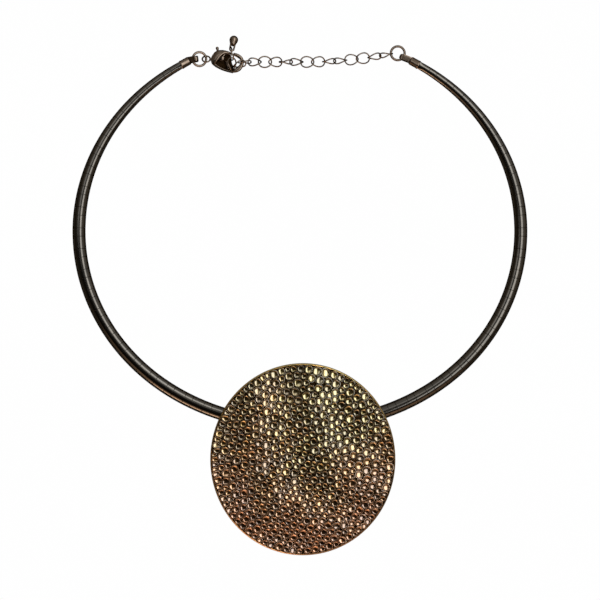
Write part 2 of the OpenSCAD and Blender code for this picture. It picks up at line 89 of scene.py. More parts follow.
def add(tree, kind, inputs=None, **settings):
    # An input takes another node, one output of a node, a hex colour or a plain value
    node = tree.nodes.new(kind)
    for name, value in settings.items():
        setattr(node, name, value)
    for name, value in (inputs or {}).items():
        if isinstance(value, bpy.types.Node):
            value = socket(value.outputs, 0)
        if isinstance(value, bpy.types.NodeSocket):
            tree.links.new(value, socket(node.inputs, name))
        else:
            is_colour = isinstance(value, str) and value.startswith("#")
            socket(node.inputs, name).default_value = plating(value) if is_colour else value
    return node


def new_material(name):
    material = bpy.data.materials.new(name)
    material.use_nodes = True
    tree = material.node_tree
    tree.nodes.clear()
    return material, tree, add(tree, "ShaderNodeTexCoord").outputs["Object"]


def end_metal(material, inputs):
    shader = add(material.node_tree, "ShaderNodeBsdfPrincipled", {"Metallic": 1.0, **inputs})
    add(material.node_tree, "ShaderNodeOutputMaterial", {"Surface": shader})
    print("made", material.name)
    return material


# %% [markdown]
# ## Pieces
# A shape is a list of points and a list of faces, and a piece of this necklace is a shape with
# a finish. Smooth shading rounds it, and edges that turn more than a given angle stay crisp. It
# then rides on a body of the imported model, so that it moves with it, and it may stand for
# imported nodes.

# %% Make a piece
def shown(name, data):
    made = bpy.data.objects.new(name, data)
    bpy.context.collection.objects.link(made)
    return made


def piece(name, shape, finish, nodes=(), slot=None, body="necklace", crisp=50, unit=MM):
    points, faces = shape
    mesh = bpy.data.meshes.new(name)
    mesh.from_pydata([tuple(c * unit for c in p) for p in points], [], faces)
    mesh.materials.append(finish)
    mesh.polygons.foreach_set("use_smooth", [True] * len(mesh.polygons))
    mesh.update()
    mesh.set_sharp_from_angle(angle=radians(crisp))
    return dress(shown(name, mesh), body, nodes, slot)


def dress(made, body, nodes=(), slot=None):
    if body:
        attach(made, body)
        print(made.name, "has", sum(len(p.vertices) - 2 for p in made.data.polygons), "triangles")
    if nodes:
        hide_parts(*nodes)
    return made


def give(made, name, values, kind="FLOAT"):
    # A number or a vector for each point, which a finish or a tree reads by its name
    field = made.data.attributes.new(name, kind, "POINT")
    field.data.foreach_set("value" if kind == "FLOAT" else "vector", values)


# %% [markdown]
# ## Turned and swept shapes
# Jewellery is mostly wire and turned parts. lathe() spins a profile of (radius, height) pairs
# about the Z axis, from the middle outwards. sweep() carries a cross-section along a path: its
# width lies across the path, its height along "up", and a squareness of 2 makes an ellipse and
# more makes a rounded bar.

# %% Lathe, sweep and their helpers
def around(radius, share, z=0.0):
    return Vector((radius * cos(tau * share), radius * sin(tau * share), z))


def band(a, b, sides):
    # Faces between two rings of points that start at point a and at point b
    return [(a + i, b + i, b + (i + 1) % sides, a + (i + 1) % sides) for i in range(sides)]


def lathe(profile, sides):
    points = [Vector((0, 0, profile[0][1]))]
    closed = profile[-1][0] == 0
    for r, z in profile[1:len(profile) - closed]:
        points += [around(r, i / sides, z) for i in range(sides)]
    faces = [(0, 1 + i, 1 + (i + 1) % sides) for i in range(sides)]
    last = len(points) - sides
    for a in range(1, last, sides):
        faces += band(a, a + sides, sides)
    if closed:
        points.append(Vector((0, 0, profile[-1][1])))
        faces += [(last + i, last + sides, last + (i + 1) % sides) for i in range(sides)]
    return points, faces


def tube_faces(rings, sides, closed=False):
    faces = []
    for k in range(rings if closed else rings - 1):
        faces += band(k * sides, (k + 1) % rings * sides, sides)
    if not closed:
        faces += [tuple(range(sides)), tuple(range(rings * sides - 1, (rings - 1) * sides - 1, -1))]
    return faces


def sweep(path, wide, high=None, up=(0, 0, 1), sides=12, closed=False, squareness=2):
    wide = wide if isinstance(wide, list) else [wide] * len(path)
    high = wide if high is None else high if isinstance(high, list) else [high] * len(path)
    points = []
    for k, here in enumerate(path):
        before = path[k - 1] if closed or k else here
        after = path[(k + 1) % len(path)] if closed or k < len(path) - 1 else here
        way = (after - before).normalized()
        across = way.cross(Vector(up)).normalized()
        rise = across.cross(way)
        for i in range(sides):
            x, y = (copysign(abs(c) ** (2 / squareness), c) for c in around(1, i / sides).xy)
            points.append(here + across * x * wide[k] / 2 + rise * y * high[k] / 2)
    return points, tube_faces(len(path), sides, closed)


def wire_ring(radius, wire_d, steps):
    return sweep([around(radius, k / steps) for k in range(steps)], wire_d, sides=14, closed=True)


def smooth_path(stops, steps=4):
    # A curve through all the stops, which may have a width as a last number
    path = []
    for i in range(len(stops) - 1):
        a, b, c, d = (stops[min(max(j, 0), len(stops) - 1)] for j in (i - 1, i, i + 1, i + 2))
        for k in range(steps):
            t = k / steps
            path.append([(2 * q + t * (r - p) + t * t * (2 * p - 5 * q + 4 * r - s)
                          + t ** 3 * (3 * q - p - 3 * r + s)) / 2 for p, q, r, s in zip(a, b, c, d)])
    return path + [list(stops[-1])]


def placed(shape, place=(0, 0, 0), turn=(0, 0, 0)):
    points, faces = shape
    where = Matrix.Translation(Vector(place)) @ Euler([radians(a) for a in turn]).to_matrix().to_4x4()
    return [where @ Vector(p) for p in points], faces


def joined(*shapes):
    points, faces = [], []
    for more_points, more_faces in shapes:
        faces += [tuple(i + len(points) for i in face) for face in more_faces]
        points += more_points
    return points, faces


# %% [markdown]
# ## A tree that repeats a shape
# The cups and the chain's links are each one small shape that is repeated. A Geometry Nodes
# tree does that: it puts the shape on every place that it is given, turned and stretched by
# what the place carries. Each tree here is run once, its result is kept as a plain mesh, and
# the tree and the shape are taken off again.

# %% Start, end and run a tree
def new_tree(name, sockets):
    tree = bpy.data.node_groups.new(name, "GeometryNodeTree")
    shared = [("Geometry", "Geometry", None), ("Shape", "Object", None), ("Finish", "Material", None)]
    for label, kind, start in shared + sockets:
        entry = tree.interface.new_socket(label, in_out="INPUT", socket_type="NodeSocket" + kind)
        if start is not None:
            entry.default_value = start
    tree.interface.new_socket("Geometry", in_out="OUTPUT", socket_type="NodeSocketGeometry")
    return tree, add(tree, "NodeGroupInput").outputs


def real_copies(tree, given, inputs):
    shape = add(tree, "GeometryNodeObjectInfo", {"Object": given["Shape"]}).outputs["Geometry"]
    copies = add(tree, "GeometryNodeInstanceOnPoints", {"Instance": shape, **inputs})
    return add(tree, "GeometryNodeRealizeInstances", {"Geometry": copies})


def end_tree(tree, geometry, given):
    dressed = add(tree, "GeometryNodeSetMaterial", {"Geometry": geometry, "Material": given["Finish"]})
    add(tree, "NodeGroupOutput", {"Geometry": dressed})
    print("tree", tree.name, "has", len(tree.nodes), "nodes")
    return tree


def run_tree(name, base, tree, shape, finish, inputs):
    inputs = {"Shape": shape, "Finish": finish, **inputs}
    modifier = base.modifiers.new("tree", "NODES")
    modifier.node_group = tree
    for entry in tree.interface.items_tree:
        if entry.item_type == "SOCKET" and entry.name in inputs:
            modifier[entry.identifier] = inputs[entry.name]
    graph = bpy.context.evaluated_depsgraph_get()
    mesh = bpy.data.meshes.new_from_object(
        base.evaluated_get(graph), preserve_all_data_layers=True, depsgraph=graph)
    base.modifiers.remove(modifier)
    bpy.data.objects.remove(base)
    bpy.data.objects.remove(shape)
    mesh.name = name
    return shown(name, mesh)


# %% Tree that sets a shape on places
def places_tree():
    tree, given = new_tree("shape_on_places", [
        ("Least height", "Float", 1.0), ("Most height", "Float", 1.0), ("Seed", "Int", 5)])
    turn, size = [add(tree, "GeometryNodeInputNamedAttribute", {"Name": name},
                      data_type="FLOAT_VECTOR") for name in ("turn", "size")]
    rotation = add(tree, "FunctionNodeEulerToRotation", {"Euler": turn})
    height = add(tree, "FunctionNodeRandomValue", {
        "Min": given["Least height"], "Max": given["Most height"], "Seed": given["Seed"]},
        data_type="FLOAT")
    stretch = add(tree, "ShaderNodeCombineXYZ", {"X": 1.0, "Y": 1.0, "Z": height})
    scale = add(tree, "ShaderNodeVectorMath", {0: size, 1: stretch}, operation="MULTIPLY")
    places = add(tree, "GeometryNodeMeshToPoints", {"Mesh": given["Geometry"]})
    real = real_copies(tree, given, {"Points": places, "Rotation": rotation, "Scale": scale})
    return end_tree(tree, real, given)


shape_on_places = places_tree()


def repeat(name, shape, places, finish, heights=(1.0, 1.0), **dressing):
    # Each place is (point, turn, size, tone): the tone is a number for the finish to read
    carrier = piece("places", ([p[0] for p in places], []), finish, body=None)
    give(carrier, "turn", [c for p in places for c in p[1]], "FLOAT_VECTOR")
    give(carrier, "size", [c for p in places for c in p[2]], "FLOAT_VECTOR")
    give(carrier, "tone", [p[3] for p in places])
    made = run_tree(name, carrier, shape_on_places, shape, finish, {
        "Least height": heights[0], "Most height": heights[1], "Seed": 5})
    return dress(made, "necklace", **dressing)


# %% [markdown]
# ## Where the disc is
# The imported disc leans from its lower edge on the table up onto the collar. These are its
# driving sizes, in millimetres, and the same soft waves that its solid has. on_disc() takes a
# place across the disc, up the disc and out of its face, and gives the place in the model.

# %% The disc's own plane
disc_half_w = 29.6
disc_half_h = 31.0
disc_lean = radians(6.6)
rim_h = 1.3
rim_w = 0.45
shield_rise = 3.4
shield_t = 1.1
wave_h = 0.45
wave_length = 27.0
rim_share = 1 - rim_w / disc_half_w
disc_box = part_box("disc")
disc_aside = (disc_box[0].x + disc_box[1].x) / 2 / MM
disc_low_y = disc_box[0].y / MM + rim_h * sin(disc_lean)


def on_disc(u, v, w):
    up = v + disc_half_h
    return Vector((u + disc_aside, disc_low_y + up * cos(disc_lean) - w * sin(disc_lean),
                   up * sin(disc_lean) + w * cos(disc_lean)))


def disc_way(u, v, w=0):
    return on_disc(u, v, w) - on_disc(0, 0, 0)


def shield_w(u, v):
    q = (u / disc_half_w) ** 2 + (v / disc_half_h) ** 2
    wave = (sin(radians(360 * (0.8 * u + 0.6 * v) / wave_length + 60))
            + 0.7 * sin(radians(360 * (0.5 * u - 0.9 * v) / (1.3 * wave_length) - 40)))
    return (rim_h + shield_rise * (1 - min(q, 1) ** 1.1) + wave_h * wave * min(1, 2.5 * max(0, 1 - q)))


print("disc's middle at x =", round(disc_aside, 2), "and low edge at y =", round(disc_low_y, 2), "mm")

# %% [markdown]
# ## The cups' places
# On the real disc every cup has its own size, and they were set by hand until they pressed
# against each other. That is what happens here too: cups of random sizes are strewn on the
# disc, and then each pair that comes too close is pushed apart, again and again. At first they
# keep a wide distance, so that they spread evenly, and at last they touch. A fixed seed gives
# the same disc each time.

# %% Pack the cups
cup_count = 560
size_spread = 0.24
bigger_at_top = 0.07
push_rounds = 300
# Share of an overlap that one push takes away
push_share = 0.22
# How much more room than its size a cup takes at first
extra_room = 0.35
# A cup's middle stays this share of its radius inside the plate's edge
edge_clearance = 0.92
# A cup counts as far away from itself, so that it doesn't push itself
from_itself = 100 * np.eye(cup_count)


def packed_cups():
    rng = np.random.default_rng(8)
    half = rim_share * np.array([disc_half_w, disc_half_h])
    radii = 1 + size_spread * rng.uniform(-1, 1, cup_count)
    turns = rng.uniform(0, tau, cup_count)
    out = np.sqrt(rng.uniform(0, 1, cup_count))
    spots = half * np.stack([out * np.cos(turns), out * np.sin(turns)], 1)
    radii *= 1 + bigger_at_top * spots[:, 1] / disc_half_h
    # The circles of all the cups together have the disc's area
    radii *= sqrt(half[0] * half[1] / (radii ** 2).sum())
    reach = radii[:, None] + radii[None]
    for k in range(push_rounds):
        distance = 1 + extra_room * (1 - k / push_rounds)
        away = spots[:, None] - spots[None]
        gap = np.sqrt((away ** 2).sum(2)) + from_itself
        push = push_share * np.clip(distance * reach - gap, 0, None) / gap
        spots = spots + (away * push[:, :, None]).sum(1)
        beyond = np.sqrt(((spots / (half - edge_clearance * radii[:, None])) ** 2).sum(1))
        spots = spots / np.maximum(1, beyond)[:, None]
    return spots, radii


cup_spots, cup_radii = packed_cups()
print(cup_count, "cups,", round(2 * cup_radii.min(), 2), "to", round(2 * cup_radii.max(), 2), "mm wide")

# %% [markdown]
# ## Disc finish
# The disc is cast brass, plated gold at the top and copper at the bottom, unevenly, then
# darkened and polished again, so that a dark patina stays in the gaps between the cups. The
# near-black of the cups' walls and of the gaps is partly that patina and partly painted shade.
# A metal's colour is the colour of its reflection, so the finish is a metallic surface whose
# base colour is the plating. Each cup carries two numbers: edge, which is 0 in the bowl, 1 on
# the rim and 2 on the outside, and tone, which differs from cup to cup.

# %% Plating of the cups
disc_foot_y = -84 * MM
disc_top_y = -22 * MM


def share_up_disc(tree, place):
    y = add(tree, "ShaderNodeSeparateXYZ", {"Vector": place}).outputs["Y"]
    return add(tree, "ShaderNodeMapRange", {"Value": y, "From Min": disc_foot_y, "From Max": disc_top_y})


def cup_plating():
    material, tree, place = new_material("gold_to_copper_brass_with_painted_shade")
    edge = add(tree, "ShaderNodeAttribute", attribute_name="edge").outputs["Fac"]
    tone = add(tree, "ShaderNodeAttribute", attribute_name="tone").outputs["Fac"]
    share = share_up_disc(tree, place)
    # Plating baths leave patches about 16 mm across
    patch = add(tree, "ShaderNodeTexNoise", {"Vector": place, "Scale": 1 / (16 * MM), "Detail": 2})
    patch_move = add(tree, "ShaderNodeMapRange", {
        "Value": patch, "From Min": 0.3, "From Max": 0.7, "To Min": -0.3, "To Max": 0.3})
    gold_share = add(tree, "ShaderNodeMath", {0: share, 1: patch_move}, operation="ADD", use_clamp=True)
    plated = add(tree, "ShaderNodeValToRGB", {"Fac": gold_share})
    stops = plated.color_ramp.elements
    stops[0].position, stops[0].color = 0.1, plating("#744a22")
    stops[1].position, stops[1].color = 0.85, plating("#746630")
    stops.new(0.5).color = plating("#785924")
    tone_grey = add(tree, "ShaderNodeMapRange", {"Value": tone, "To Min": 0.45, "To Max": 1.35})
    toned = add(tree, "ShaderNodeMix", {"Factor": 1.0, "A": plated, "B": tone_grey},
                data_type="RGBA", blend_type="MULTIPLY")
    # Stain left by the darkening bath in spots about 0.9 mm across
    stain = add(tree, "ShaderNodeTexNoise", {"Vector": place, "Scale": 1 / (0.9 * MM), "Detail": 3})
    stain_share = add(tree, "ShaderNodeMapRange", {
        "Value": stain, "From Min": 0.5, "From Max": 0.75, "To Max": 0.55})
    # A cup's wall and its outside are painted near-black, partly patina and partly painted shade, and the
    # rim is polished bare
    wall = add(tree, "ShaderNodeMapRange", {
        "Value": edge, "From Min": 0.05, "From Max": 0.3, "To Max": 0.9})
    rub = add(tree, "ShaderNodeMapRange", {"Value": gold_share, "To Min": 1.0, "To Max": 0.55})
    bright = add(tree, "ShaderNodeMapRange", {
        "Value": edge, "From Min": 0.65, "From Max": 0.95, "To Max": rub})
    dark = add(tree, "ShaderNodeMapRange", {"Value": edge, "From Min": 1.15, "From Max": 1.5})
    rubbed = add(tree, "ShaderNodeMix", {"Factor": gold_share, "A": "#e6b892", "B": "#857850"},
                 data_type="RGBA")
    # The finish is built in layers from the lowest up: stain, painted shade on the walls, the bare rims,
    # painted shade outside the cups
    colour = toned
    for part, layer in ((stain_share, "#3a2412"), (wall, "#0f0804"), (bright, rubbed), (dark, "#120b05")):
        colour = add(tree, "ShaderNodeMix", {"Factor": part, "A": colour, "B": layer}, data_type="RGBA")
    smooth = add(tree, "ShaderNodeMapRange", {"Value": stain, "To Min": 0.1, "To Max": 0.28})
    rough = add(tree, "ShaderNodeMapRange", {"Value": bright, "To Min": smooth, "To Max": 0.6})
    # A clear lacquer keeps the plating, and its gloss is white whatever the metal's colour. On
    # the rims it is worn off.
    lacquer = add(tree, "ShaderNodeMapRange", {"Value": bright, "To Min": 1.0, "To Max": 0.2})
    return end_metal(material, {
        "Base Color": colour, "Roughness": rough, "Coat Weight": lacquer,
        "Coat IOR": 1.85, "Coat Roughness": 0.08})


cup_finish = cup_plating()

# %% Patina and painted shade, for the plate between the cups and the clasp's hollow
def patina_with_painted_shade():
    material, tree, place = new_material("painted_shade_and_patina_on_brass")
    # Grit of the casting, 0.4 mm across
    grit = add(tree, "ShaderNodeTexNoise", {"Vector": place, "Scale": 1 / (0.4 * MM), "Detail": 4})
    # Near-black, partly patina and partly painted shade of the gaps and of the clasp's hollow
    colour = add(tree, "ShaderNodeMix", {"Factor": grit, "A": "#080502", "B": "#2a1c0e"}, data_type="RGBA")
    bump = add(tree, "ShaderNodeBump", {"Height": grit, "Strength": 0.4, "Distance": 0.05 * MM})
    return end_metal(material, {"Roughness": 0.45, "Base Color": colour, "Normal": bump})


patina_and_painted_shade = patina_with_painted_shade()

# %% [markdown]
# ## One cup, and all of them
# A cup is a shallow bowl with a thin rounded rim. It is turned on a lathe from a few heights,
# so it has only a few dozen faces, and smooth shading rounds it. Each cup stands between square
# to the plate under it and level, give or take a few degrees, and is slightly oval. They also
# lean to the right in curved bands across the disc, which shine, and to the left between them.

# %% One cup
# The height is in depths of the cup, and its radius and depth follow the cup's size
#              radius  height  edge
cup_profile = [(0.00, -1.00, 0.0),
               (0.36, -0.96, 0.0),
               (0.62, -0.85, 0.0),
               (0.82, -0.67, 0.1),
               (0.89, -0.10, 0.5),
               (0.91, 0.02, 0.65),
               (0.965, 0.00, 1.0),
               (1.00, -1.70, 2.0)]
cup_sides = 12
cup_depth = 0.44


def one_cup():
    shape = lathe([(r, z) for r, z, _ in cup_profile], cup_sides)
    cup = piece("cup", shape, cup_finish, body=None, crisp=42, unit=1)
    give(cup, "edge", [cup_profile[0][2]] + [e for _, _, e in cup_profile[1:] for _ in range(cup_sides)])
    return cup


cup = one_cup()
cup_points = len(cup.data.vertices)
print("one cup has", len(cup.data.polygons), "faces")

# %% Cups on the disc
cup_level = 0.65
cup_lean = radians(8)
cup_oval = 0.09
cup_sink = 0.1
band_lean = radians(8)
band_width = 21.0
band_curve = 0.015
band_from = 7.5
band_way = Vector((0.94, 0.34))


def plate_normal(u, v):
    step = 0.2
    du = (shield_w(u + step, v) - shield_w(u - step, v)) / (2 * step)
    dv = (shield_w(u, v + step) - shield_w(u, v - step)) / (2 * step)
    return disc_way(-du, -dv, 1).normalized()


def band_share(u, v):
    # 1 in the middle of a band of cups that lean to the right, -1 between two bands
    along, across = 0.85 * v - 0.5 * u, 0.85 * u + 0.5 * v
    return cos(tau * (across - band_curve * along ** 2 + band_from) / band_width)


def cup_places():
    rng = random.Random(4)
    places = []
    for (u, v), r in zip(cup_spots, cup_radii):
        lean = band_way * band_lean * band_share(u, v)
        lean += Vector((rng.uniform(-1, 1), rng.uniform(-1, 1))) * cup_lean
        square = plate_normal(u, v).lerp(disc_way(0, 0, 1), cup_level)
        out = (square + disc_way(lean.x, lean.y)).normalized()
        turn = rng.uniform(0, tau)
        across = disc_way(cos(turn), sin(turn))
        across = (across - across.dot(out) * out).normalized()
        rows = Matrix((across, out.cross(across), out)).transposed()
        oval = rng.uniform(0.0, cup_oval)
        size = (r * (1 + oval) * MM, r * (1 - oval) * MM, cup_depth * r * MM)
        place = on_disc(u, v, shield_w(u, v) + rng.uniform(-cup_sink, 0))
        places.append((place, rows.to_euler(), size, rng.random()))
    return places


disc_cups = repeat("disc_cups", cup, cup_places(), cup_finish, heights=(0.8, 1.15), slot="ombre_brass")

# %% [markdown]
# ## Cups that press on each other
# Round cups leave dark three-cornered gaps, but the real ones are squeezed to a honeycomb where
# they press on each other. Between two cups runs the line on which their circles meet, and a
# cup's rim may reach just that line. So each cup is pressed in every direction in which it has
# a row of points, and its whole bowl follows its rim.

# %% Squeeze the cups
rim_gap = 0.03
# How strongly a rim that would stick out over the plate's edge is drawn in
edge_press = 1.6
# A rim point holds back only from a neighbour that it reaches towards by more than this, in mm
least_facing = 0.01


def squeeze(cups):
    mesh = cups.data
    flat = np.empty(len(mesh.vertices) * 3)
    mesh.vertices.foreach_get("co", flat)
    points = flat.reshape(cup_count, cup_points, 3)
    right, up = np.array(disc_way(1, 0)), np.array(disc_way(0, 1))
    # The last ring of each cup gives its directions, seen in the disc's plane
    offsets = points[:, -cup_sides:] - points[:, -cup_sides:].mean(1, keepdims=True)
    ways = np.stack([offsets @ right, offsets @ up], 2) / MM
    between = cup_spots[None] - cup_spots[:, None]
    apart = np.sqrt((between ** 2).sum(2)) + from_itself
    line = (apart ** 2 + cup_radii[:, None] ** 2 - cup_radii[None] ** 2) / (2 * apart) - rim_gap
    facing = np.einsum("ikc,ijc->ikj", ways, between) / apart[:, None]
    reach = line[:, None] / np.maximum(facing, least_facing)
    room = np.where(facing > least_facing, reach, np.inf).min(2)
    # How far a cup's rim would stick out over the plate's edge, as a share
    over = np.sqrt((((cup_spots[:, None] + ways) / (disc_half_w, disc_half_h)) ** 2).sum(2)) / rim_share
    room = np.minimum(room, 1 - edge_press * np.maximum(0, over - 1))
    middles = points[:, :1].copy()
    for start in range(1, cup_points, cup_sides):
        ring = slice(start, start + cup_sides)
        away = points[:, ring] - middles
        across = (away @ right)[:, :, None] * right + (away @ up)[:, :, None] * up
        points[:, ring] += across * (room - 1)[:, :, None]
    mesh.vertices.foreach_set("co", points.ravel())
    mesh.update()
    print("rims reach", round(float(room.min()), 2), "to", round(float(room.max()), 2), "of the circles")


squeeze(disc_cups)

# %% [markdown]
# ## The plate under the cups
# The plate is one closed shell: its front under the cups, near-black with patina and painted
# shade, a plain rounded rim, and a hollow back. It is made as rings of points from the middle
# outwards, over the rim and back in.

# %% Rim finish
def rim_plating():
    material, tree, place = new_material("rim_plated_brass")
    share = share_up_disc(tree, place)
    colour = add(tree, "ShaderNodeMix", {"Factor": share, "A": "#7d5d3e", "B": "#8a7c50"}, data_type="RGBA")
    # Rubbed patches 1.2 mm across, where fingers touch the rim
    rub = add(tree, "ShaderNodeTexNoise", {"Vector": place, "Scale": 1 / (1.2 * MM), "Detail": 3})
    rough = add(tree, "ShaderNodeMapRange", {"Value": rub, "To Min": 0.15, "To Max": 0.35})
    return end_metal(material, {"Base Color": colour, "Roughness": rough})


ombre_rim = rim_plating()

# %% Plate
plate_steps = 132
front_rings = 20
back_rings = 12
front_under = 0.95
# Rings over the rim, from the front to the back, as (share of the disc's size, height)
rim_rings = [(rim_share, rim_h - 0.5), (rim_share + 0.002, rim_h + 0.08),
             (rim_share + 0.007, rim_h + 0.17), (0.998, rim_h + 0.08), (1.0, rim_h - 0.12),
             (1.0, 0.2), (0.996, 0.02), (0.965, 0.0)]


def plate_ring(share, height=None, under=0.0):
    # A ring without a height of its own lies under the shield's face
    ring = []
    for i in range(plate_steps):
        way = around(share, i / plate_steps)
        u, v = disc_half_w * way.x, disc_half_h * way.y
        ring.append(on_disc(u, v, max(0, shield_w(u, v) - under) if height is None else height))
    return ring


def disc_plate():
    rings = [plate_ring(rim_share * (0.12 + 0.88 * k / front_rings), under=front_under)
             for k in range(front_rings)]
    rings += [plate_ring(share, height) for share, height in rim_rings]
    rings += [plate_ring(0.945 - 0.075 * k, under=shield_t) for k in range(back_rings)]
    n = plate_steps
    last = (len(rings) - 1) * n
    faces = [face for a in range(0, last, n) for face in band(a, a + n, n)]
    points = [point for ring in rings for point in ring]
    points += [on_disc(0, 0, shield_w(0, 0) - under) for under in (front_under, shield_t)]
    faces += [(last + n, i, (i + 1) % n) for i in range(n)]
    faces += [(last + n + 1, last + (i + 1) % n, last + i) for i in range(n)]
    plate = piece("disc_plate", (points, faces), patina_and_painted_shade, ["disc"], "ombre_brass")
    plate.data.materials.append(ombre_rim)
    for polygon in plate.data.polygons[front_rings * n:(front_rings + len(rim_rings) - 1) * n]:
        polygon.material_index = 1


disc_plate()

# %% [markdown]
# ## Collar finish
# The collar is brass with a gunmetal plating: dark and polished, cool where it mirrors the
# lamp. Such plating is a thin smoky layer that swallows light that grazes it, so the sides of
# the tube are nearly black. The shader's specular tint darkens a metal at grazing angles. The
# number seam is high where two sleeves of the collar meet, and the metal is painted darker
# there, as painted shade of the groove between them.

# %% Gunmetal plating of the collar
def gunmetal_plating():
    material, tree, place = new_material("gunmetal_plated_brass")
    # Clouds in the plating, about 6 mm across, and a polish grain of 0.15 mm
    cloud = add(tree, "ShaderNodeTexNoise", {"Vector": place, "Scale": 1 / (6 * MM), "Detail": 3})
    grain = add(tree, "ShaderNodeTexNoise", {"Vector": place, "Scale": 1 / (0.15 * MM), "Detail": 2})
    seam = add(tree, "ShaderNodeAttribute", attribute_name="seam").outputs["Fac"]
    metal = add(tree, "ShaderNodeMix", {"Factor": cloud, "A": "#393836", "B": "#4e4a44"}, data_type="RGBA")
    # Painted shade along the seams between the sleeves
    colour = add(tree, "ShaderNodeMix", {"Factor": seam, "A": metal, "B": "#12100d"}, data_type="RGBA")
    rough = add(tree, "ShaderNodeMapRange", {"Value": grain, "To Min": 0.12, "To Max": 0.2})
    bump = add(tree, "ShaderNodeBump", {"Height": grain, "Strength": 0.04, "Distance": 0.02 * MM})
    return end_metal(material, {
        "Base Color": colour, "Roughness": rough, "Normal": bump,
        "Specular Tint": "#1c1611"})


gunmetal = gunmetal_plating()

# %% [markdown]
# ## Collar
# The real collar is a row of short polished sleeves, long and short in turn, threaded on a
# core. So fine lines cross it. A tree makes a straight row of such sleeves first, and then bends
# the row: every point keeps its distance from the axis, and the axis follows the collar's curve.
# Made like this, the sleeves are curved themselves, and the bright line on them doesn't break.

# %% The collar's curve
collar_radius = 66.58
collar_oval = 4.08
collar_reach = 2.89
collar_egg = 0.23
collar_end_angle = 52.8
tube_front_d = 4.35
tube_side_d = 4.2
tube_end_d = 2.5
taper_power = 1.2
collar_slope = 0.0122
bail_wall = 0.7
bail_play = 0.15
disc_from_centre = 75.85
collar_front_z = bail_wall + bail_play + tube_front_d / 2
loop_y = disc_low_y + disc_from_centre + disc_half_h * cos(disc_lean)
front_y = -(collar_radius - collar_oval + collar_reach - collar_egg)


def collar_point(phi):
    a = radians(phi)
    r = (collar_radius + collar_oval * cos(2 * a) - collar_reach * sin(a) - collar_egg * sin(3 * a))
    return Vector((r * cos(a), r * sin(a) + loop_y,
                   collar_front_z - collar_slope * (r * sin(a) - front_y)))


def collar_way(phi):
    return (collar_point(phi + 0.05) - collar_point(phi - 0.05)).normalized()


def tube_r(phi):
    if phi < -90:
        phi = -180 - phi
    if phi < 0:
        return (tube_side_d + (tube_front_d - tube_side_d) * (-phi / 90)) / 2
    return (tube_side_d - (tube_side_d - tube_end_d) * (phi / collar_end_angle) ** taper_power) / 2


collar_steps = 360
collar_sweep = 180 + 2 * collar_end_angle
collar_angles = [-180 - collar_end_angle + collar_sweep * k / collar_steps for k in range(collar_steps + 1)]
collar_path = [collar_point(phi) for phi in collar_angles]
collar_length = sum((b - a).length for a, b in zip(collar_path, collar_path[1:]))
print("collar is", round(collar_length, 1), "mm long")

# %% One sleeve
#               along  radius seam
sleeve_half = [(0.000, 1.000, 0.0),
               (0.465, 1.000, 0.0),
               (0.476, 1.000, 0.7),
               (0.490, 1.000, 0.7),
               (0.500, 0.990, 0.7)]
sleeve_profile = sleeve_half[::-1] + [(-along, radius, seam) for along, radius, seam in sleeve_half[1:]]
sleeve_sides = 24
sleeve_l = 3.35
sleeve_change = 0.22


def one_sleeve():
    points = [around(r, i / sleeve_sides, z) for z, r, _ in sleeve_profile for i in range(sleeve_sides)]
    sleeve = piece("sleeve", (points, tube_faces(len(sleeve_profile), sleeve_sides)), gunmetal,
                   body=None, unit=1)
    give(sleeve, "seam", [dark for _, _, dark in sleeve_profile for _ in range(sleeve_sides)])
    return sleeve


# %% Tree that bends a row of sleeves
def sleeve_tree():
    tree, given = new_tree("row_of_sleeves", [
        ("Count", "Int", 100), ("Sleeve length", "Float", 0.003), ("Length change", "Float", 0.2)])
    # A straight row of sleeves along the Z axis, each second one shorter
    half = add(tree, "ShaderNodeMath", {0: given["Sleeve length"], 1: 0.5}, operation="MULTIPLY")
    start = add(tree, "ShaderNodeCombineXYZ", {"Z": half})
    step = add(tree, "ShaderNodeCombineXYZ", {"Z": given["Sleeve length"]})
    row = add(tree, "GeometryNodeMeshLine", {
        "Count": given["Count"], "Start Location": start, "Offset": step}, mode="OFFSET")
    index = add(tree, "GeometryNodeInputIndex")
    second = add(tree, "ShaderNodeMath", {0: index, 1: 2.0}, operation="MODULO")
    sign = add(tree, "ShaderNodeMapRange", {"Value": second, "To Min": 1.0, "To Max": -1.0})
    share = add(tree, "ShaderNodeMath", {0: sign, 1: given["Length change"], 2: 1.0},
                operation="MULTIPLY_ADD")
    length = add(tree, "ShaderNodeMath", {0: share, 1: given["Sleeve length"]}, operation="MULTIPLY")
    scale = add(tree, "ShaderNodeCombineXYZ", {"X": 1.0, "Y": 1.0, "Z": length})
    real = real_copies(tree, given, {"Points": row, "Scale": scale})
    # The row is bent: a point's height in the row is its distance along the collar's curve
    position = add(tree, "GeometryNodeInputPosition")
    place = add(tree, "ShaderNodeSeparateXYZ", {"Vector": position}).outputs
    path = add(tree, "GeometryNodeMeshToCurve", {"Mesh": given["Geometry"]})
    radius = add(tree, "GeometryNodeInputNamedAttribute", {"Name": "tube_radius"}, data_type="FLOAT")
    there = add(tree, "GeometryNodeSampleCurve", {"Curves": path, "Value": radius, "Length": place["Z"]},
                mode="LENGTH", data_type="FLOAT").outputs
    across = add(tree, "ShaderNodeVectorMath", {0: (0, 0, 1), 1: there["Tangent"]},
                 operation="CROSS_PRODUCT")
    across = add(tree, "ShaderNodeVectorMath", {0: across}, operation="NORMALIZE")
    rise = add(tree, "ShaderNodeVectorMath", {0: there["Tangent"], 1: across}, operation="CROSS_PRODUCT")
    spot = there["Position"]
    for way, axis in ((across, "X"), (rise, "Y")):
        far = add(tree, "ShaderNodeMath", {0: place[axis], 1: there["Value"]}, operation="MULTIPLY")
        move = add(tree, "ShaderNodeVectorMath", {0: way, "Scale": far}, operation="SCALE")
        spot = add(tree, "ShaderNodeVectorMath", {0: spot, 1: move}, operation="ADD")
    bent = add(tree, "GeometryNodeSetPosition", {"Geometry": real, "Position": spot})
    return end_tree(tree, bent, given)


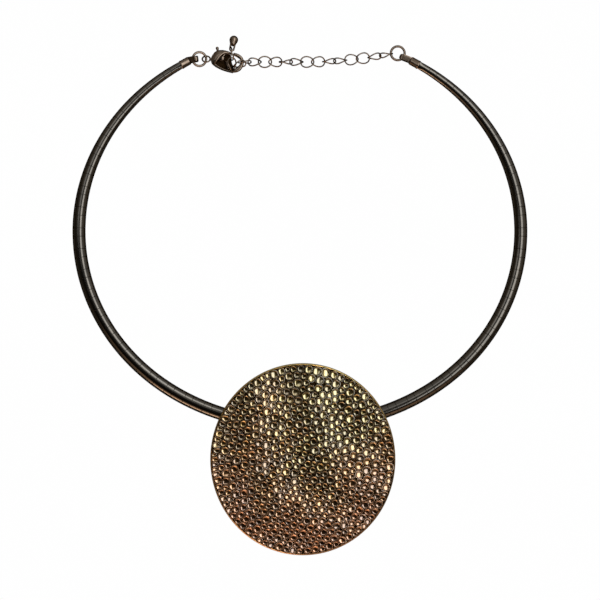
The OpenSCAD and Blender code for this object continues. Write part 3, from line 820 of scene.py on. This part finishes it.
# %% Thread the sleeves
def thread_sleeves():
    carrier = piece("collar_path", (collar_path, []), gunmetal, body=None)
    carrier.data.edges.add(collar_steps)
    carrier.data.edges.foreach_set("vertices", [i for k in range(collar_steps) for i in (k, k + 1)])
    give(carrier, "tube_radius", [tube_r(phi) * MM for phi in collar_angles])
    # An odd count, so that the first and the last sleeve are long ones that reach into the caps
    count = 2 * round((collar_length / sleeve_l - 1) / 2) + 1
    made = run_tree("collar_sleeves", carrier, sleeve_tree(), one_sleeve(), gunmetal, {
        "Count": count, "Sleeve length": collar_length / count * MM, "Length change": sleeve_change})
    print("collar has", count, "sleeves")
    dress(made, "necklace", ["collar"], "gunmetal")


thread_sleeves()

# %% [markdown]
# ## Hardware finish
# The clasp, the caps, the rings and the chain are brass with a dark bronze plating, tumbled to
# a soft polish. It is a little lighter where the pieces rub on each other.

# %% Dark bronze plating
def bronze_plating():
    material, tree, place = new_material("dark_bronze_plated_brass")
    # The plating is rubbed a little brighter in patches about 1.5 mm across
    wear = add(tree, "ShaderNodeTexNoise", {"Vector": place, "Scale": 1 / (1.5 * MM), "Detail": 4})
    colour = add(tree, "ShaderNodeMix", {"Factor": wear, "A": "#3f362f", "B": "#6a5e52"}, data_type="RGBA")
    rough = add(tree, "ShaderNodeMapRange", {"Value": wear, "To Min": 0.16, "To Max": 0.3})
    return end_metal(material, {"Base Color": colour, "Roughness": rough, "Specular Tint": "#1c1611"})


bronze = bronze_plating()


def hardware(name, shape, node, **more):
    return piece(name, shape, bronze, [node], "bronze", **more)


# %% [markdown]
# ## End caps and jump rings
# Each end of the collar sits in a turned sleeve with a lip. A folded strap comes out of it and
# holds a round jump ring. A strap is a flat bar bent double, with a rounded end, so it is swept
# along its fold with a width that follows that end.

# %% End caps
cap_r = 1.36
cap_l = 3.4
lip_r = cap_r + 0.06
lip_l = 0.5
neck_l = 0.35
strap_w = 2.1
strap_t = 0.38
strap_gap = 1.1
strap_l = 3.5
#               radius, height
cap_profile = [(0, cap_l + 0.02), (0.85, cap_l), (0.98, cap_l - 0.05),
               (cap_r - 0.05, cap_l - neck_l), (cap_r, cap_l - neck_l - 0.12),
               (cap_r, lip_l + 0.06), (lip_r, lip_l - 0.04), (lip_r, 0.08), (lip_r - 0.07, 0), (0, 0)]


def strap():
    bend_r = (strap_gap + strap_t) / 2
    bend_x = strap_l - strap_gap / 2 - strap_t
    upper = [Vector((bend_x * k / 5, 0, bend_r)) for k in range(-1, 5)]
    fold = [Vector((bend_x + bend_r * sin(pi * k / 10), 0, bend_r * cos(pi * k / 10))) for k in range(11)]
    path = upper + fold + [Vector((p.x, 0, -p.z)) for p in reversed(upper)]
    round_x = strap_l - strap_w / 2
    wide = [2 * sqrt(max((strap_w / 2) ** 2 - max(0, p.x - round_x) ** 2, 0.15)) for p in path]
    return sweep(path, strap_t, wide, up=(0, 1, 0), sides=16, squareness=4)


def end_cap(side, phi, outward, turn, rise):
    tube = placed(lathe(cap_profile, 36), turn=(0, 90, 0))
    loop = placed(strap(), (cap_l, 0, 0), (0, -rise, turn))
    way = outward * collar_way(phi)
    facing = (0, -degrees(asin(way.z)), degrees(atan2(way.y, way.x)))
    hardware("end_cap_on_the_" + side, placed(joined(tube, loop), collar_point(phi), facing),
             "end_cap_" + side)


end_cap("right", collar_end_angle, 1, turn=7, rise=0)
end_cap("left", 180 - collar_end_angle, -1, turn=-22, rise=45)

# %% Jump rings
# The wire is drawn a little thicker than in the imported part, as the photograph shows it
jump_wire_d = 0.78
jump_mean_r = 2.21


def jump_ring(side, x, y, z, roll, tilt):
    ring = placed(wire_ring(jump_mean_r, jump_wire_d, 48), (x, y + loop_y, z), (roll, tilt, 0))
    hardware("jump_ring_on_the_" + side, ring, "jump_ring_" + side)


jump_ring("right", 31.35, 54.08, 1.63, roll=0, tilt=3)
jump_ring("left", -32.19, 52.19, 2.11, roll=2.5, tilt=14.39)

# %% [markdown]
# ## Chain
# A link is an oval of wire with a slight twist, so that neighbours can lie crossed. It is
# swept once and repeated by the same tree as the cups. The chain runs from the clasp's claw to
# the right ring, slack at first and then taut. Three more links hang from the claw and carry
# the drop.

# %% Links
link_length = 4.62
link_width = 3.95
link_wire_d = 0.41
# The wire is drawn a tenth thicker, as the photograph shows it
wire_shown = 1.1
link_twist = 0.38
link_pitch = 3.245
link_spread = 0.04
link_roll = 43
links_in_chain = 14
chain_start = Vector((-17.73, 51.28, 2))
chain_rise = 2.3
rise_from = 6
#              x       y      z     turn  tilt  roll
tail_links = [(-19.43, 50.46, 1.77, 21.4, -9.4, 62.3),
              (-21.72, 50.4, 3.65, 92.9, 3.7, 49.8),
              (-21.87, 53.8, 4.23, 98.1, 2.9, 94.4)]


def one_link():
    half_l, half_w = (link_length - link_wire_d) / 2, (link_width - link_wire_d) / 2
    path = [Vector((half_l * cos(t), half_w * sin(t), -link_twist * sin(2 * t)))
            for t in (tau * k / 32 for k in range(32))]
    return piece("link", sweep(path, link_wire_d * wire_shown, sides=8, closed=True), bronze, body=None)


def chain_spot(i):
    late = max(0, i - rise_from) / (links_in_chain - 1 - rise_from)
    return chain_start + Vector((i * (link_pitch + link_spread * (i - 1) / 2), chain_rise * late ** 2, 0))


def link_places():
    places = []
    for i in range(links_in_chain):
        way = chain_spot(i + 0.5) - chain_spot(i - 0.5)
        places.append((chain_spot(i), (radians(90 + link_roll * i), 0, atan2(way.y, way.x))))
    for x, y, z, turn, tilt, roll in tail_links:
        places.append((Vector((x, y, z)), [radians(a) for a in (roll, tilt, turn)]))
    return [(spot + Vector((0, loop_y, 0)), turn, (1, 1, 1), 0.5) for spot, turn in places]


link_nodes = [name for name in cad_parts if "link" in name]
repeat("chain_links", one_link(), link_places(), bronze, nodes=link_nodes, slot="bronze")

# %% [markdown]
# ## End drop
# The chain ends in a solid drop: a ball that tapers into a neck. Two prongs grow out of the
# neck and close into an eye. The ball and neck are turned, and the prongs and the eye are one
# wire that is swept from one side of the neck over the eye to the other side.

# %% End drop
drop_at = Vector((-21.18, 58.37, 1.41))
drop_turn = -11.5
drop_rise = 26.4
drop_ball_r = 1.4
eye_r = 0.62
eye_wire_d = 0.54
eye_out = 3.45


def end_drop():
    ball = [(drop_ball_r * sin(radians(a)), drop_ball_r * cos(radians(a))) for a in range(0, 106, 15)]
    neck = [(1.2, -0.8), (1.05, -1.3), (0.9, -1.75), (0.7, -2.0), (0.35, -2.1), (0, -2.12)]
    body = placed(lathe(ball + neck, 28), turn=(-90, 0, 0))
    prong = [(-0.62, -1.5, 0.62), (-0.66, -2.1, 0.58), (-0.64, -2.8, 0.55)]
    arch = [(-eye_r * cos(pi * k / 8), -eye_out - eye_r * sin(pi * k / 8), eye_wire_d) for k in range(9)]
    stops = smooth_path(prong + arch + [(-x, y, d) for x, y, d in reversed(prong)], 3)
    wire = sweep([Vector((x, y, 0)) for x, y, _ in stops], [d for _, _, d in stops], sides=14)
    place = drop_at + Vector((0, loop_y, 0))
    hardware("end_drop_with_its_eye", placed(joined(body, wire), place, (-drop_rise, 0, drop_turn)),
             "end_drop")


end_drop()

# %% [markdown]
# ## Clasp
# A lobster clasp is a hollow shell with a claw. A lever turns on a pin in the shell, pushed
# shut by a spring: its nub sticks out at the top for the thumb and its gate closes the claw.
# The shell's front ends in a curved ridge, and the hollow with the spring is open beyond it.
# Places are counted from the pin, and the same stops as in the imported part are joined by
# curves. The front is bulged here, because on the real one it is a polished lens.

# %% Clasp shell
clasp_at = Vector((-25.09, 52.48 + loop_y, 0))
plate_t = 0.5
clasp_t = 3.0
arm_low = 1.0
arm_high = 2.2
shell_top = [(-3.45, -0.3), (-2.56, 1.44), (-1.44, 2.4), (0.16, 2.6), (1.6, 2.35), (2.75, 1.95)]
shell_low = [(-3.45, -0.75), (-3.2, -1.65), (-2.5, -2.35), (-1.44, -3.05), (0.3, -3.85),
             (2.1, -4.4), (3.6, -4.75)]
ridge = [(-2.45, -2.3), (-1.2, -1.1), (-0.13, 0.25), (0.86, 1.1), (1.7, 1.35), (2.6, 1.35), (2.7, 1.7)]
back_edge = [(3.9, -4.0), (3.75, -2.6), (3.3, -1.4), (3.1, -0.2), (2.7, 1.2)]
# Stops of a bar are (x, y, width)
wall = [(-2.0, 1.75, 0.7), (-2.85, 0.5, 0.7), (-3.15, -0.5, 0.7), (-2.8, -1.5, 0.65),
        (-1.35, -2.65, 0.65), (0.35, -3.55, 0.6), (2.0, -4.12, 0.6), (3.3, -4.35, 0.75)]
hook = [(3.0, -4.25, 0.75), (4.4, -3.98, 1.25), (5.45, -3.38, 1.55), (6.25, -2.4, 1.3),
        (6.62, -1.22, 1.05), (6.3, -0.1, 1.1), (5.35, 0.72, 1.2), (4.4, 1.15, 1.05), (3.75, 1.37, 0.85)]
tail_loop_at = (-4.93, -0.24, clasp_t / 2)
tail_loop_roll = -38
lug_at = (-3.25, -0.3, clasp_t / 2)
lens_bulge = 0.7
lens_steps = 26
# Share of the way from the top edge to the ridge, and how far under or over the front
lens_section = [(0.0, -plate_t), (0.0, -0.36), (0.03, -0.24), (0.1, 0.15), (0.28, 0.6), (0.5, 0.92),
                (0.66, 1.0), (0.82, 0.88), (0.92, 0.6), (0.98, 0.1), (1.0, -0.25), (1.0, -plate_t)]


def bar(stops, low, high, squareness=3):
    path = smooth_path(stops)
    return sweep([Vector((x, y, (low + high) / 2)) for x, y, _ in path], [w for _, _, w in path],
                 high - low, sides=16, squareness=squareness)


def evenly(stops, count):
    path = [Vector(p) for p in smooth_path(stops, 8)]
    gone = [0]
    for a, b in zip(path, path[1:]):
        gone.append(gone[-1] + (b - a).length)
    spots = []
    for k in range(count):
        goal = gone[-1] * k / (count - 1)
        i = max(j for j in range(len(path) - 1) if gone[j] <= goal + 1e-9)
        share = (goal - gone[i]) / (gone[i + 1] - gone[i])
        spots.append(path[i].lerp(path[i + 1], min(share, 1)))
    return spots


def lens():
    points = []
    for k, (a, b) in enumerate(zip(evenly(shell_top, lens_steps), evenly(ridge, lens_steps))):
        bulge = lens_bulge * sin(pi * min(1, (k + 1) / lens_steps)) ** 0.6
        for share, over in lens_section:
            height = over * bulge if over > 0 else over
            points.append(a.lerp(b, share).to_3d() + Vector((0, 0, clasp_t + height)))
    return points, tube_faces(lens_steps, len(lens_section))


def back_plate():
    outline = smooth_path(shell_top[:-1]) + smooth_path(back_edge)[::-1] + smooth_path(shell_low)[::-1]
    points = [Vector((x, y, z)) for z in (0, plate_t) for x, y in outline]
    return points, tube_faces(2, len(outline))


def clasp_body():
    loop = placed(wire_ring(1.26, 0.52, 40), tail_loop_at, (tail_loop_roll, 0, 0))
    lug = placed(lathe([(0, 0.72), (0.36, 0.7), (0.42, 0.6), (0.42, 0), (0, 0)], 20), lug_at, (0, -90, 0))
    front, back = lens(), back_plate()
    shell = joined(front, back, bar(wall, 0.05, clasp_t - 0.1, 4), bar(hook, arm_low, arm_high, 2.6),
                   loop, lug)
    made = hardware("clasp_shell", placed(shell, clasp_at), "clasp_body", crisp=40)
    # The inside of the shell isn't polished, and stays dark
    # The back plate inside the shell is painted near-black, as painted shade in the hollow
    made.data.materials.append(patina_and_painted_shade)
    for polygon in made.data.polygons[len(front[1]):len(front[1]) + len(back[1])]:
        polygon.material_index = 1


clasp_body()

# %% Lever and spring
lever_low = 0.62
lever_high = 2.38
gate = [(0.2, 0.3, 0.9), (1.0, 1.35, 0.8), (2.0, 1.62, 0.8), (3.22, 1.46, 0.66)]
nub = [(-0.1, 0.3, 1.0), (-0.9, 1.6, 0.8), (-1.35, 2.9, 0.8)]
nub_tip = (-1.38, 3.2, 0)
coil_from = Vector((1.5, -0.8, clasp_t / 2))
coil_to = Vector((2.15, -3.3, clasp_t / 2))
coil_turns = 5
coil_turn_steps = 14
coil_r = 0.5
coil_wire_d = 0.26


def lever():
    boss = lathe([(0, lever_high), (0.8, lever_high), (0.9, lever_high - 0.1),
                  (0.9, lever_low + 0.1), (0.8, lever_low), (0, lever_low)], 28)
    button = lathe([(0, 2.34), (0.36, 2.3), (0.5, 2.12), (0.5, 1.1), (0.36, 0.93), (0, 0.9)], 20)
    shape = joined(boss, placed(button, nub_tip), bar(gate, arm_low, arm_high),
                   bar(nub, arm_low, arm_high))
    hardware("clasp_lever_with_its_nub", placed(shape, clasp_at), "clasp_lever", body="lever")


def spring():
    way = (coil_to - coil_from).normalized()
    side = way.cross(Vector((0, 0, 1)))
    steps = coil_turn_steps * coil_turns
    path = []
    for k in range(steps + 1):
        rise, out = coil_r * around(1, k / coil_turn_steps).xy
        path.append(coil_from.lerp(coil_to, k / steps) + Vector((0, 0, rise)) + out * side)
    hardware("clasp_coil", placed(sweep(path, coil_wire_d, up=way, sides=8), clasp_at), "clasp_spring")


lever()
spring()

# %% [markdown]
# ## Bail and pin
# The bail is the strap that holds the disc on the collar, hidden under the disc, and the pin
# is a plain rod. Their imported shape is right, so they keep it and only get their finish.

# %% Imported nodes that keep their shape
for name, finish in (("bail", ombre_rim), ("clasp_pin", bronze)):
    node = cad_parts[name]
    node.data.materials.clear()
    node.data.materials.append(finish)
    print(name, "has", finish.name)

# %% [markdown]
# ## Table
# The ground of the photograph is pure white, and yet the metal mirrors something much darker.
# Jewellery is shot like that: the table shines from below, and dark cards stand just outside
# the picture. Light Path tells the camera's rays from the others, so that the table is white
# where it is seen and dim where it is mirrored. It is no brighter than white, because a brighter
# ground would eat the edges of the thin wires.

# %% Table
table_half = 2000


def acrylic():
    material, tree, place = new_material("white_lit_acrylic")
    # Faint clouds of the cast sheet, about 80 mm across
    cloud = add(tree, "ShaderNodeTexNoise", {"Vector": place, "Scale": 1 / (80 * MM), "Detail": 2})
    colour = add(tree, "ShaderNodeMix", {"Factor": cloud, "A": "#fefefe", "B": "#ffffff"}, data_type="RGBA")
    seen = add(tree, "ShaderNodeEmission", {"Color": colour})
    mirrored = add(tree, "ShaderNodeEmission", {"Color": "#a89a88"})
    by_camera = add(tree, "ShaderNodeLightPath").outputs["Is Camera Ray"]
    shader = add(tree, "ShaderNodeMixShader", {0: by_camera, 1: mirrored, 2: seen})
    add(tree, "ShaderNodeOutputMaterial", {"Surface": shader})
    return material


corners = [(x * table_half, y * table_half, 0) for x, y in ((-1, -1), (1, -1), (1, 1), (-1, 1))]
table = piece("table", (corners, [(0, 1, 2, 3)]), acrylic(), body=None)
table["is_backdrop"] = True
print("table is", round(2 * table_half * MM), "m square")

# %% [markdown]
# ## Light and camera
# Polished metal shows the room more than the lamps, so both matter here. The room is brighter
# at the back than in front, where it glows warm near the table, and the camera with its dark
# card hangs overhead, a little to the front: it is what the cups and the tube's top mirror. A
# long soft box hangs on the right and draws the bright line along the tube, and a weaker panel
# hangs at the back left. A warm lamp stands low in front and draws the copper line along the
# tube's outer edge. The camera looks straight down with a long lens, so there is no
# perspective. One pixel of the picture is 0.32 mm.

# %% Room
back_way = (0.35, 0.75, 0.56)
glow_way = (-0.1, -0.9, 0.4)
glow_strength = 1.7
card_way = (-0.22, -0.33, 0.92)
card_strength = 0.12
# The card ends softly between these angles from its middle
card_inner = radians(29)
card_outer = radians(38)


def studio_world():
    world = bpy.data.worlds.new("studio_room")
    bpy.context.scene.world = world
    world.use_nodes = True
    tree = world.node_tree
    tree.nodes.clear()
    way = add(tree, "ShaderNodeTexCoord").outputs["Generated"]
    to_back, to_card, to_glow = [
        add(tree, "ShaderNodeVectorMath", {0: way, 1: aim}, operation="DOT_PRODUCT").outputs["Value"]
        for aim in (back_way, card_way, glow_way)]
    share = add(tree, "ShaderNodeMapRange", {"Value": to_back, "From Min": -0.4})
    walls = add(tree, "ShaderNodeValToRGB", {"Fac": share})
    stops = walls.color_ramp.elements
    stops[0].position, stops[0].color = 0.0, plating("#6c6356")
    stops[1].position, stops[1].color = 0.83, plating("#fffdf8")
    for position, shade in ((0.29, "#4f483e"), (0.46, "#a69a8b"), (0.68, "#d8cdbf")):
        stops.new(position).color = plating(shade)
    beside = add(tree, "ShaderNodeMapRange", {
        "Value": to_card, "From Min": cos(card_outer), "From Max": cos(card_inner),
        "To Min": 1.0, "To Max": card_strength})
    room = add(tree, "ShaderNodeBackground", {"Color": walls, "Strength": beside})
    facing = add(tree, "ShaderNodeMapRange", {
        "Value": to_glow, "From Min": 0.6, "From Max": 0.9, "To Max": glow_strength})
    height = add(tree, "ShaderNodeSeparateXYZ", {"Vector": way}).outputs["Z"]
    low = add(tree, "ShaderNodeMapRange", {"Value": height, "From Min": 0.65, "From Max": 0.5})
    glow = add(tree, "ShaderNodeMath", {0: facing, 1: low}, operation="MULTIPLY")
    warm = add(tree, "ShaderNodeBackground", {"Color": "#ffcfa8", "Strength": glow})
    both = add(tree, "ShaderNodeAddShader", {0: room, 1: warm})
    add(tree, "ShaderNodeOutputWorld", {"Surface": both})
    return world


print("made", studio_world().name)

# %% Lamps
def lamp(name, place, aim, size, glare, colour):
    # The glare is how many times brighter than white paper the lamp looks
    light = bpy.data.lights.new(name, "AREA")
    light.shape = "RECTANGLE"
    light.size, light.size_y = size
    light.energy = glare * pi * size[0] * size[1]
    light.color = plating(colour)[:3]
    made = shown(name, light)
    made.location = place
    made.rotation_euler = (Vector(aim) - Vector(place)).to_track_quat("-Z", "Y").to_euler()
    print(name, "gives", round(light.energy, 1), "W")


lamp("soft_box", (0.3, 0.24, 0.6), (0.3, 0.24, 0), (0.36, 1.05), 5.6, "#f7f9fb")
lamp("back_left_panel", (-0.22, 0.2, 0.6), (-0.22, 0.2, 0), (0.3, 0.3), 2.0, "#f7f9fb")
lamp("low_warm_lamp", (-0.34, -0.85, 0.15), (0, 0, 0), (0.6, 0.2), 11, "#ffd2b0")

# %% Camera
pixel = 0.32 * MM
picture_pixels = 600
film_width = 36
lens_height = 1.2
# Where the middle of the picture lies, from the collar's centre
picture_middle = (0.03, -24.96)


def overhead_camera():
    data = bpy.data.cameras.new("camera")
    data.sensor_width = film_width
    data.lens = film_width * lens_height / (picture_pixels * pixel)
    data.clip_start, data.clip_end = 0.1, 10
    camera = shown("camera", data)
    camera.location = (picture_middle[0] * MM, (loop_y + picture_middle[1]) * MM, lens_height + 3 * MM)
    bpy.context.scene.camera = camera
    return camera


camera = overhead_camera()
bpy.context.scene.view_settings.view_transform = "Standard"
print("lens", round(camera.data.lens, 1), "mm")

# %% [markdown]
# ## Sizes
# The box of the imported necklace and the box of the dressed one are printed, so that they
# can be compared. The dressed necklace has to keep the size of the imported one.

# %% Sizes
dressed_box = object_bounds()
for corner, other in zip(cad_box, dressed_box):
    print("box in mm:", [round(c / MM, 2) for c in corner], [round(c / MM, 2) for c in other])
